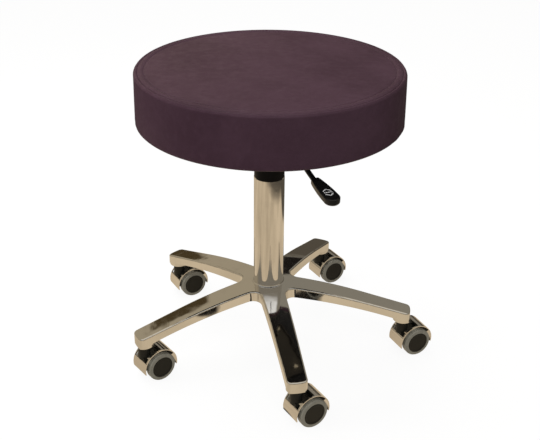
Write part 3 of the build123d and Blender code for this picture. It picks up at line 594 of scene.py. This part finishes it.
def simulated_lift(profile, seam_row):
    """Movement of a coarse cover, held at seam and hem, over foam that pushes outward."""
    rows = sorted({*range(0, len(profile), 3), seam_row, seam_row + 3, len(profile) - 1})
    coarse = profile[rows]
    angles = np.linspace(0.0, math.tau, SIM_COLUMNS, endpoint=False)
    grid = revolved(coarse, angles)
    points = [(0.0, 0.0, coarse[0, 1])] + [tuple(p) for p in grid.reshape(-1, 3)]
    faces = ring_faces(len(rows), SIM_COLUMNS, 1)
    faces += [(0, 1 + k, 1 + (k + 1) % SIM_COLUMNS) for k in range(SIM_COLUMNS)]
    mesh = bpy.data.meshes.new("cover_sim")
    mesh.from_pydata([tuple(c * MM for c in p) for p in points], [], [f[::-1] for f in faces])
    mesh.update()
    cover = bpy.data.objects.new("cover_sim", mesh)
    bpy.context.scene.collection.objects.link(cover)
    face_outward(mesh)
    held = cover.vertex_groups.new(name="held")
    seam = rows.index(seam_row)
    for row, place in enumerate(coarse):
        under = place[1] < UNDER_Z + UNDER_CORNER
        if row == seam or under:
            held.add([1 + row * SIM_COLUMNS + k for k in range(SIM_COLUMNS)], 1.0, "REPLACE")
    cloth = cover.modifiers.new("cloth", "CLOTH")
    settings = cloth.settings
    settings.quality = 6
    settings.mass = 0.25
    settings.tension_stiffness = settings.compression_stiffness = 12.0
    settings.shear_stiffness = 6.0
    settings.bending_stiffness = 2.0
    settings.air_damping = 4.0
    settings.vertex_group_mass = "held"
    settings.use_pressure = True
    settings.uniform_pressure_force = 4.0
    settings.effector_weights.gravity = 0.0
    cloth.point_cache.frame_start, cloth.point_cache.frame_end = 1, SIM_FRAMES
    scene = bpy.context.scene
    for step in range(1, SIM_FRAMES + 1):
        scene.frame_set(step)
    settled = cover.evaluated_get(bpy.context.evaluated_depsgraph_get()).data
    moved = np.array([v.co for v in settled.vertices], float)[1:] / MM
    scene.frame_set(1)
    bpy.data.objects.remove(cover)
    lift = moved.reshape(len(rows), SIM_COLUMNS, 3) - grid
    for part, cap in ((slice(0, seam + 1), PUFF_CAP), (slice(seam, None), SIDE_CAP)):
        most = np.linalg.norm(lift[part], axis=2).max()
        lift[part] *= min(1.0, cap / max(most, 1e-9))
    return along(profile)[rows], lift


def spread_lift(down, places, lift, angles):
    """The coarse movement at every row and angle of the fine cover, less its finest waves."""
    waves = np.fft.rfft(lift, axis=1)[:, :SMOOTH_WAVES] / SIM_COLUMNS
    number = np.arange(waves.shape[1])
    turns = np.exp(1j * np.outer(number, angles)) * np.where(number == 0, 1.0, 2.0)[:, None]
    smooth = np.einsum("rwc,wa->rac", waves, turns).real
    out = np.empty((len(down), len(angles), 3))
    for a in range(len(angles)):
        for axis in range(3):
            out[:, a, axis] = np.interp(down, places, smooth[:, a, axis])
    return out


def uneven(angles, count, seed, reach=1.0):
    """A smooth random line round the seat, made of a few waves, between about -1 and 1."""
    draw = random.Random(seed)
    total = np.zeros_like(angles)
    for wave in range(1, count + 1):
        size = 1.0 / (1.0 + reach * wave / count)
        total += size * np.sin(wave * angles + draw.uniform(0.0, math.tau))
    return total / math.sqrt(count)


def pleats(angles, seed, count, width):
    """Narrow folds at uneven places round the seat, each from 0 to 1."""
    draw = random.Random(seed)
    total = np.zeros_like(angles)
    for k in range(count):
        centre = math.tau * (k + draw.uniform(-0.35, 0.35)) / count
        depth = draw.uniform(0.45, 1.0)
        hump = bell(turned_from(angles, centre), width * draw.uniform(0.7, 1.3))
        total = np.maximum(total, depth * hump)
    return total


def cover_angles():
    """Angles round the seat, closer together across the band's closing join."""
    near = np.array([0.06, 0.13, 0.21, 0.30, 0.42, 0.6, 0.85])
    extra = JOIN_ANGLE + np.radians(np.concatenate([-near, [0.0], near]))
    angles = np.linspace(0.0, math.tau, COVER_COLUMNS, endpoint=False)
    apart = np.abs(angles[:, None] - extra).min(axis=1) > math.radians(0.1)
    return np.sort(np.concatenate([angles[apart], extra]))


def sewn_cover():
    """The cover's fine grid: crown with seam and stitched line, tight side, gathered hem."""
    profile, seam_row = cover_profile()
    angles = cover_angles()
    grid = revolved(profile, angles)
    grid += spread_lift(along(profile), *simulated_lift(profile, seam_row), angles)
    r, z = profile[:, 0], profile[:, 1]
    slow = uneven(angles, 9, 3)
    fine = uneven(angles, 60, 11, 0.3)

    crown = z > RIM_Z - 1.0
    rings = sum(height * bell(r - radius, width) for radius, height, width in CROWN_RINGS)
    inside = np.clip(r / 120.0, 0.0, 1.0) * np.clip((STITCH_RADIUS - r) / 40.0, 0.0, 1.0)
    grid[:, :, 2] += (rings * crown)[:, None] + CROWN_WAVE * np.outer(crown * inside, slow)

    side = np.clip((RIM_Z - 3.0 - z) / 8.0, 0.0, 1.0) * np.clip((z - UNDER_Z) / 4.0, 0.0, 1.0)
    near_hem = side * np.exp(-np.clip(z - UNDER_Z, 0.0, None) / 13.0)
    near_rim = side * np.exp(-np.clip(RIM_Z - z, 0.0, None) / 16.0)
    off = turned_from(angles, JOIN_ANGLE) * RIM_RADIUS
    join = JOIN_LIP * bell(np.abs(off) - JOIN_LIP_OFF, JOIN_LIP_WIDTH)
    join -= JOIN_SINK * bell(off, JOIN_SINK_WIDTH)
    push = np.outer(side, SIDE_WAVE * slow + join)
    push += np.outer(HEM_WAVE * near_hem + RIM_WAVE * near_rim, fine)
    outward = np.stack([np.cos(angles), np.sin(angles)], axis=1)
    grid[:, :, :2] += push[:, :, None] * outward[None, :, :]

    under = np.clip((RIM_RADIUS - 1.0 - r) / 14.0, 0.0, 1.0) * (z < UNDER_Z + 1.0)
    folds = np.outer(under, pleats(angles, 5, PLEATS, PLEAT_WIDTH) - 0.35)
    grid[:, :, 2] -= PLEAT_DEPTH * folds
    return grid * MM, seam_row, angles


def soft_shell(name, grid, material, thickness, closed=False):
    """A panel from a grid of points, with its thickness inward, riding on the seat."""
    rows, columns = grid.shape[:2]
    points = list(grid.reshape(-1, 3))
    faces = ring_faces(rows, columns)
    if closed:
        points.append(grid[0].mean(axis=0))
        faces += [(columns * rows, k, (k + 1) % columns) for k in range(columns)]
    panel = add_mesh(name, points, [f[::-1] for f in faces], material)
    face_outward(panel.data)
    solid = panel.modifiers.new("thickness", "SOLIDIFY")
    solid.thickness = thickness * MM
    solid.offset = -1.0
    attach(panel, "seat")
    return panel


def stitches(name, places, length, thick, material):
    """Short threads that dip into the cover at both ends. A place is a point, along and out."""
    around = 6
    shares = (-0.5, -0.3, 0.0, 0.3, 0.5)
    length, thick = length * MM, thick * MM
    points, faces = [], []
    for centre, way, out in places:
        across = way.cross(out)
        first = len(points)
        for share in shares:
            rise = thick * (1.5 * (1.0 - 4.6 * share * share) - 0.9)
            fat = thick * math.sqrt(max(0.10, 1.0 - (1.9 * share) ** 2))
            middle = centre + way * (share * length) + out * rise
            for k in range(around):
                a = math.tau * k / around
                points.append(middle + across * (fat * math.cos(a)) + out * (fat * math.sin(a)))
        faces += ring_faces(len(shares), around, first)
        faces.append(tuple(range(first + around - 1, first - 1, -1)))
        faces.append(tuple(range(len(points) - around, len(points))))
    return add_mesh(name, points, faces, material, "seat")


def on_cover(grid, angles, row, angle):
    """A point of the cover at one row and any angle."""
    index = int(np.searchsorted(angles, angle % math.tau)) % len(angles)
    before = grid[row, index - 1]
    after = grid[row, index]
    low, high = angles[index - 1], angles[index]
    share = ((angle - low) % math.tau) / max(1e-9, (high - low) % math.tau)
    return Vector(before + (after - before) * min(1.0, share))


def upholster(materials):
    """Top panel, side band, topstitching and the stitches each side of the band's join."""
    grid, seam_row, angles = sewn_cover()
    vinyl = materials["seat_vinyl"]
    top = soft_shell("seat_top_panel", grid[: seam_row + 1], vinyl, VINYL_THICKNESS, True)
    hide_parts("seat_cover_top")
    band = soft_shell("seat_side_band", grid[seam_row:], vinyl, VINYL_THICKNESS)
    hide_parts("seat_cover_band")

    thread_material = materials["seam_thread"]
    profile, _ = cover_profile()
    stitch_row = int(np.abs(profile[: seam_row + 1, 0] - STITCH_RADIUS).argmin())
    places = []
    for k in range(STITCH_COUNT):
        angle = math.tau * k / STITCH_COUNT
        centre = on_cover(grid, angles, stitch_row, angle)
        way = Vector((-math.sin(angle), math.cos(angle), 0.0))
        places.append((centre, way, Vector((0.0, 0.0, 1.0))))
    stitches("seat_topstitch", places, STITCH_LENGTH, STITCH_THICK, thread_material)

    joins = []
    below_seam = range(seam_row, len(profile))
    sides = [row for row in below_seam if UNDER_Z + 6.0 < profile[row, 1] < RIM_Z - 6.0]
    for shift in (-JOIN_STITCH_OFF, JOIN_STITCH_OFF):
        angle = JOIN_ANGLE + shift / RIM_RADIUS
        out = Vector((math.cos(angle), math.sin(angle), 0.0))
        line = [on_cover(grid, angles, row, angle) for row in sides]
        for low, high in zip(line, line[1:]):
            joins.append(((low + high) / 2, (high - low).normalized(), out))
    stitches(
        "seat_band_join_stitch", joins, JOIN_STITCH_LENGTH, JOIN_STITCH_THICK, thread_material
    )


# ---------------------------------------------------------------- underside

STAPLE_WIDTH, STAPLE_LEG, STAPLE_SHOULDER = 10.0, 1.2, 0.6
STAPLE_HALF_WIDE, STAPLE_HALF_THICK = 0.6, 0.35
STAPLE_DROP = 0.95
HEM_STAPLES = (199.5, 52)
FELT_STAPLES = (184.5, 40)
FELT_THICKNESS = 0.7
FELT_FREE_RADIUS = 118.0
FELT_RIPPLE_RADIUS = 172.0
FELT_SAG, FELT_WAVE = 0.30, 0.22
FELT_LIMITS = (-0.2, 0.75)


def wire_staples(name, places, material):
    """Staples driven up into the board, of flat wire. A place is a point and an angle."""
    points, faces = [], []
    half = STAPLE_WIDTH / 2
    outline = [(-half, STAPLE_LEG), (-half, STAPLE_HALF_THICK), (STAPLE_SHOULDER - half, 0.0)]
    outline += [(-x, z) for x, z in outline[::-1]]
    for centre, angle in places:
        way = Vector((math.cos(angle), math.sin(angle), 0.0))
        across = Vector((-way.y, way.x, 0.0))
        first = len(points)
        for x, z in outline:
            middle = centre + (way * x + Vector((0.0, 0.0, z))) * MM
            inward = way * math.copysign(1.0, -x)
            inner = Vector((0.0, 0.0, 1.0)) if abs(x) < half - 0.1 else inward
            inner = inner * (STAPLE_HALF_THICK * MM)
            for side in (-1.0, 1.0):
                edge = middle + across * (side * STAPLE_HALF_WIDE * MM)
                points += [edge - inner, edge + inner]
        for step in range(len(outline) - 1):
            a, b = first + 4 * step, first + 4 * step + 4
            for i, j in ((0, 1), (1, 3), (3, 2), (2, 0)):
                faces.append((a + i, a + j, b + j, b + i))
        last = len(points) - 4
        faces.append((first, first + 2, first + 3, first + 1))
        faces.append((last, last + 1, last + 3, last + 2))
    return add_mesh(name, points, faces, material, "seat", smooth=False)


def underside(materials):
    """Felt dust cover, slightly slack between its staples, and the felt's and hem's staples."""
    low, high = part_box("dust_cover")
    reach = high.x / MM - 0.3
    middle = (low.z + high.z) / 2 / MM
    radii = np.concatenate([np.linspace(6.0, 150.0, 16), np.linspace(156.0, reach, 14)])
    angles = np.linspace(0.0, math.tau, 144, endpoint=False)
    grid = revolved(np.stack([radii, np.full_like(radii, middle)], axis=1), angles)
    free = np.clip((radii - FELT_FREE_RADIUS) / 30.0, 0.0, 1.0)
    held = np.clip((reach - radii) / 16.0, 0.0, 1.0)
    rim = np.clip((radii - FELT_RIPPLE_RADIUS) / 14.0, 0.0, 1.0)
    sag = np.outer(free * held, FELT_SAG + FELT_WAVE * uneven(angles, 34, 21, 0.4))
    ripple = np.outer(rim, FELT_WAVE * uneven(angles, 40, 8, 0.2))
    grid[:, :, 2] -= np.clip(sag + ripple, *FELT_LIMITS)
    felt_material = materials["dust_felt"]
    cover = soft_shell("felt_dust_cover", grid * MM, felt_material, FELT_THICKNESS, True)
    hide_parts("dust_cover")

    draw = random.Random(17)
    rows = (("hem_staples", HEM_STAPLES, UNDER_Z), ("felt_staples", FELT_STAPLES, middle))
    for name, (radius, count), z in rows:
        places = []
        for k in range(count):
            angle = math.tau * (k + draw.uniform(-0.12, 0.12)) / count
            at = radius + draw.uniform(-1.2, 1.2)
            centre = Vector((at * math.cos(angle), at * math.sin(angle), z - STAPLE_DROP)) * MM
            places.append((centre, angle + math.pi / 2 + draw.uniform(-0.22, 0.22)))
        wire_staples(name, places, materials["zinc_steel"])


# ---------------------------------------------------------------- lever print

LEVER_AZIMUTH = math.radians(-66.5)
HANDLE_START = (166.8, 0.0, 386.1)
HANDLE_TILT = math.asin(6.0 / 70.0)
HANDLE_FACE = 4.7
MARK_MIDDLE, MARK_HALF, MARK_STROKE, MARK_GAP = 45.0, 6.5, 2.3, 2.6
CHEVRON_REACH = 5.5
BAR_HALF = 1.0
MARK_CORNER = 0.5
INK_LEVELS = (-0.02, 0.10)


def rounded_outline(corners, radius, steps=5):
    """Polygon with each corner drawn as a small curve."""
    corners = [Vector(corner) for corner in corners]
    outline = []
    for k, here in enumerate(corners):
        before, after = corners[k - 1], corners[(k + 1) % len(corners)]
        start = here + (before - here).normalized() * radius
        end = here + (after - here).normalized() * radius
        for step in range(steps + 1):
            t = step / steps
            outline.append(start * (1 - t) ** 2 + here * (2 * t * (1 - t)) + end * t**2)
    return outline


def lever_print(materials):
    """Generic raise-and-lower mark on the handle's dished face: a chevron each side of a bar."""
    low, high = MARK_MIDDLE - BAR_HALF, MARK_MIDDLE + BAR_HALF
    bar = [(low, -MARK_HALF), (high, -MARK_HALF), (high, MARK_HALF), (low, MARK_HALF)]
    shapes = []
    for way in (1.0, -1.0):
        near = MARK_MIDDLE + way * MARK_GAP
        corners = [(near, -MARK_HALF), (near + way * CHEVRON_REACH, 0.0), (near, MARK_HALF)]
        corners += [(x + way * MARK_STROKE, y) for x, y in reversed(corners)]
        shapes.append(corners if way > 0.0 else corners[::-1])
    shapes.append(bar)
    place = (
        Matrix.Rotation(LEVER_AZIMUTH, 4, "Z")
        @ Matrix.Translation(HANDLE_START)
        @ Matrix.Rotation(HANDLE_TILT, 4, "Y")
    )
    points, faces = [], []
    for shape in shapes:
        outline = rounded_outline(shape, MARK_CORNER)
        first, count = len(points), len(outline)
        for level in INK_LEVELS:
            points += [place @ Vector((*p, HANDLE_FACE + level)) * MM for p in outline]
        faces.append(tuple(range(first + count, first + 2 * count)))
        faces.append(tuple(range(first + count - 1, first - 1, -1)))
        faces += ring_faces(2, count, first)
    ink = materials["print_ink"]
    add_mesh("lever_mark", points, faces, ink, "lever", smooth=False)


# ---------------------------------------------------------------- light, floor and surroundings

TAN = (0.67, 0.54, 0.37)
TAN_SHADE = (0.50, 0.40, 0.27)
DARK = (0.012, 0.010, 0.008)
ROOM_GREY = (0.245, 0.22, 0.175)
ROOM_TAN = (0.37, 0.31, 0.215)
ROOM_SHADE = (0.09, 0.075, 0.055)
ROOM_BROWN = (0.062, 0.042, 0.018)
ROOM_WHITE = (0.95, 0.95, 0.93)
LAMP_GLOW = (0.62, 0.55, 0.44)
# The mirrored room, by direction: x to the right, y to the back, z up, each between -1 and 1
WALL_TURN = (0.0, -0.06)
WALL_FOOT = (0.16, 0.24)
WALL_TOP = (0.74, 0.90)
FRONT_TO_BACK = (-0.15, 0.15)
FRONT_WALL = (
    (0.0, TAN),
    (0.25, ROOM_GREY),
    (0.67, ROOM_GREY),
    (0.72, ROOM_WHITE),
    (0.80, ROOM_WHITE),
    (0.86, LAMP_GLOW),
)
# (x from and to, z from and to, colour) of darker oblongs on the back wall
ROOM_PATCHES = (
    ((-0.355, -0.248), (0.45, 0.63), ROOM_BROWN),
    ((-0.22, -0.178), (0.08, 0.17), ROOM_BROWN),
    ((0.05, 0.13), (0.22, 0.42), DARK),
)
PATCH_BLUR = 0.012
SKY_LIGHT = (0.45, 0.45, 0.45)
SKY_SEEN = (0.99, 0.99, 0.99)

FLOOR_REACH = 8.0
FLOOR_MATT = (0.86, 0.85, 0.83)
FLOOR_GLOW, FLOOR_GLOW_SEEN = 0.35, 1.06
FLOOR_GLOW_SHARE = 0.86
# The mirrored board: round, with a cut to the right at the back and a painted shadow of the front
# arm on it
BOARD_MIDDLE = (-0.12, 0.05, 0.0)
BOARD_EDGE = (0.72, 0.80)
BOARD_GRAIN = 3.0
CUT_WAY = (0.64, 0.77, 0.0)
CUT_EDGE = (0.47, 0.51)
ARM_SHADOW_MIDDLE = (0.036, -0.20, 0.0)
ARM_SHADOW_EDGE = (0.034, 0.025)

# name, place, aim, (width, height) and power of each light
LIGHTS = (
    ("overhead", (-0.5, 0.5, 2.1), (0.0, 0.0, 0.45), (1.8, 1.4), 20.0),
    ("front", (0.2, -2.0, 2.2), (0.0, 0.0, 0.2), (1.6, 0.9), 14.0),
    ("left", (-2.2, -0.6, 0.9), (0.0, 0.0, 0.4), (0.9, 1.2), 14.0),
)


def patch_in(tree, side, height, across, up):
    """One inside an upright oblong of directions, nought outside it, with soft edges."""
    inside = 1.0
    for value, (low, high) in ((side, across), (height, up)):
        for edge in ((low - PATCH_BLUR, low), (high + PATCH_BLUR, high)):
            inside = math_in(tree, "MULTIPLY", inside, span_in(tree, value, *edge))
    return inside


def make_world():
    """Pale to the eye; in reflections a plain room, tan and grey, with a lit ceiling."""
    world = bpy.data.worlds.new("world")
    bpy.context.scene.world = world
    world.use_nodes = True
    tree = world.node_tree
    tree.nodes.clear()
    path = node_in(tree, "ShaderNodeLightPath").outputs
    way = node_in(tree, "ShaderNodeTexCoord").outputs["Generated"]
    side, depth, height = node_in(tree, "ShaderNodeSeparateXYZ", {0: way}).outputs
    left = span_in(tree, side, *WALL_TURN)
    wall = mixed_in(tree, left, ROOM_GREY, ROOM_TAN)
    foot = mixed_in(tree, left, ROOM_SHADE, ROOM_TAN)
    back = mixed_in(tree, span_in(tree, height, *WALL_FOOT), foot, wall)
    back = mixed_in(tree, span_in(tree, height, *WALL_TOP), back, LAMP_GLOW)
    for across, up, colour in ROOM_PATCHES:
        back = mixed_in(tree, patch_in(tree, side, height, across, up), back, colour)
    front = ramp_in(tree, height, FRONT_WALL)
    room = mixed_in(tree, span_in(tree, depth, *FRONT_TO_BACK), front, back)
    plain = mixed_in(tree, path["Is Camera Ray"], SKY_LIGHT, SKY_SEEN)
    seen = mixed_in(tree, path["Is Glossy Ray"], plain, room)
    light = node_in(tree, "ShaderNodeBackground", {"Color": seen, "Strength": 1.0})
    node_in(tree, "ShaderNodeOutputWorld", {"Surface": light.outputs[0]})


def mirrored_board(tree, place):
    """Colour of the board that the chrome shows in the floor's stead, with a painted shadow under
    the front arm.
    """
    noise = {"Vector": place, "Scale": BOARD_GRAIN, "Detail": 3.0}
    grain = node_in(tree, "ShaderNodeTexNoise", noise).outputs[0]
    board = ramp_in(tree, grain, [(0.35, TAN_SHADE), (0.65, TAN)])
    away, across, arm_shadow = (
        node_in(tree, "ShaderNodeVectorMath", {0: place, 1: point}, operation=kind).outputs["Value"]
        for kind, point in (
            ("DISTANCE", BOARD_MIDDLE),
            ("DOT_PRODUCT", CUT_WAY),
            ("DISTANCE", ARM_SHADOW_MIDDLE),
        )
    )
    edge, cut = span_in(tree, away, *BOARD_EDGE), span_in(tree, across, *CUT_EDGE)
    board = mixed_in(tree, math_in(tree, "MAXIMUM", edge, cut), board, ROOM_SHADE)
    # painted shadow: a dark round spot on the board under the front arm
    return mixed_in(tree, span_in(tree, arm_shadow, *ARM_SHADOW_EDGE), board, DARK)


def make_floor():
    """Plain pale floor; in the chrome it is the warm board that the stool stands on."""
    material = bpy.data.materials.new("floor")
    material.use_nodes = True
    tree = material.node_tree
    tree.nodes.clear()
    path = node_in(tree, "ShaderNodeLightPath").outputs
    place = node_in(tree, "ShaderNodeTexCoord").outputs["Object"]
    matt = node_in(tree, "ShaderNodeBsdfDiffuse", {"Color": opaque(FLOOR_MATT)})
    strengths = {0: path["Is Camera Ray"], 1: 0.0, 2: 1.0, 3: FLOOR_GLOW, 4: FLOOR_GLOW_SEEN}
    glow = node_in(tree, "ShaderNodeMapRange", strengths).outputs[0]
    pale = node_in(tree, "ShaderNodeEmission", {"Color": opaque((1.0, 1.0, 1.0)), "Strength": glow})
    shares = {0: FLOOR_GLOW_SHARE, 1: matt.outputs[0], 2: pale.outputs[0]}
    seen = node_in(tree, "ShaderNodeMixShader", shares).outputs[0]
    warm = {"Color": mirrored_board(tree, place), "Strength": 1.0}
    mirrored = node_in(tree, "ShaderNodeEmission", warm).outputs[0]
    shares = {0: path["Is Glossy Ray"], 1: seen, 2: mirrored}
    surface = node_in(tree, "ShaderNodeMixShader", shares).outputs[0]
    node_in(tree, "ShaderNodeOutputMaterial", {"Surface": surface})
    signs = ((-1, -1), (1, -1), (1, 1), (-1, 1))
    corners = [(FLOOR_REACH * x, FLOOR_REACH * y, 0.0) for x, y in signs]
    floor = add_mesh("floor", corners, [(0, 1, 2, 3)], material, smooth=False)


def light_studio():
    """Large soft lights overhead, in front and to the left, that the chrome doesn't show."""
    for name, place, aim, size, power in LIGHTS:
        data = bpy.data.lights.new(name, "AREA")
        data.shape = "RECTANGLE"
        data.size, data.size_y = size
        data.energy = power
        light = bpy.data.objects.new(name, data)
        light.location = place
        light.rotation_mode = "QUATERNION"
        light.rotation_quaternion = (Vector(aim) - Vector(place)).to_track_quat("-Z", "Y")
        light.visible_glossy = False
        bpy.context.scene.collection.objects.link(light)


# ---------------------------------------------------------------- the stool

make_camera()
make_world()
make_floor()
light_studio()
materials = make_materials()
dress_frame(materials)
upholster(materials)
underside(materials)
lever_print(materials)
bpy.context.scene.view_settings.view_transform = "Standard"
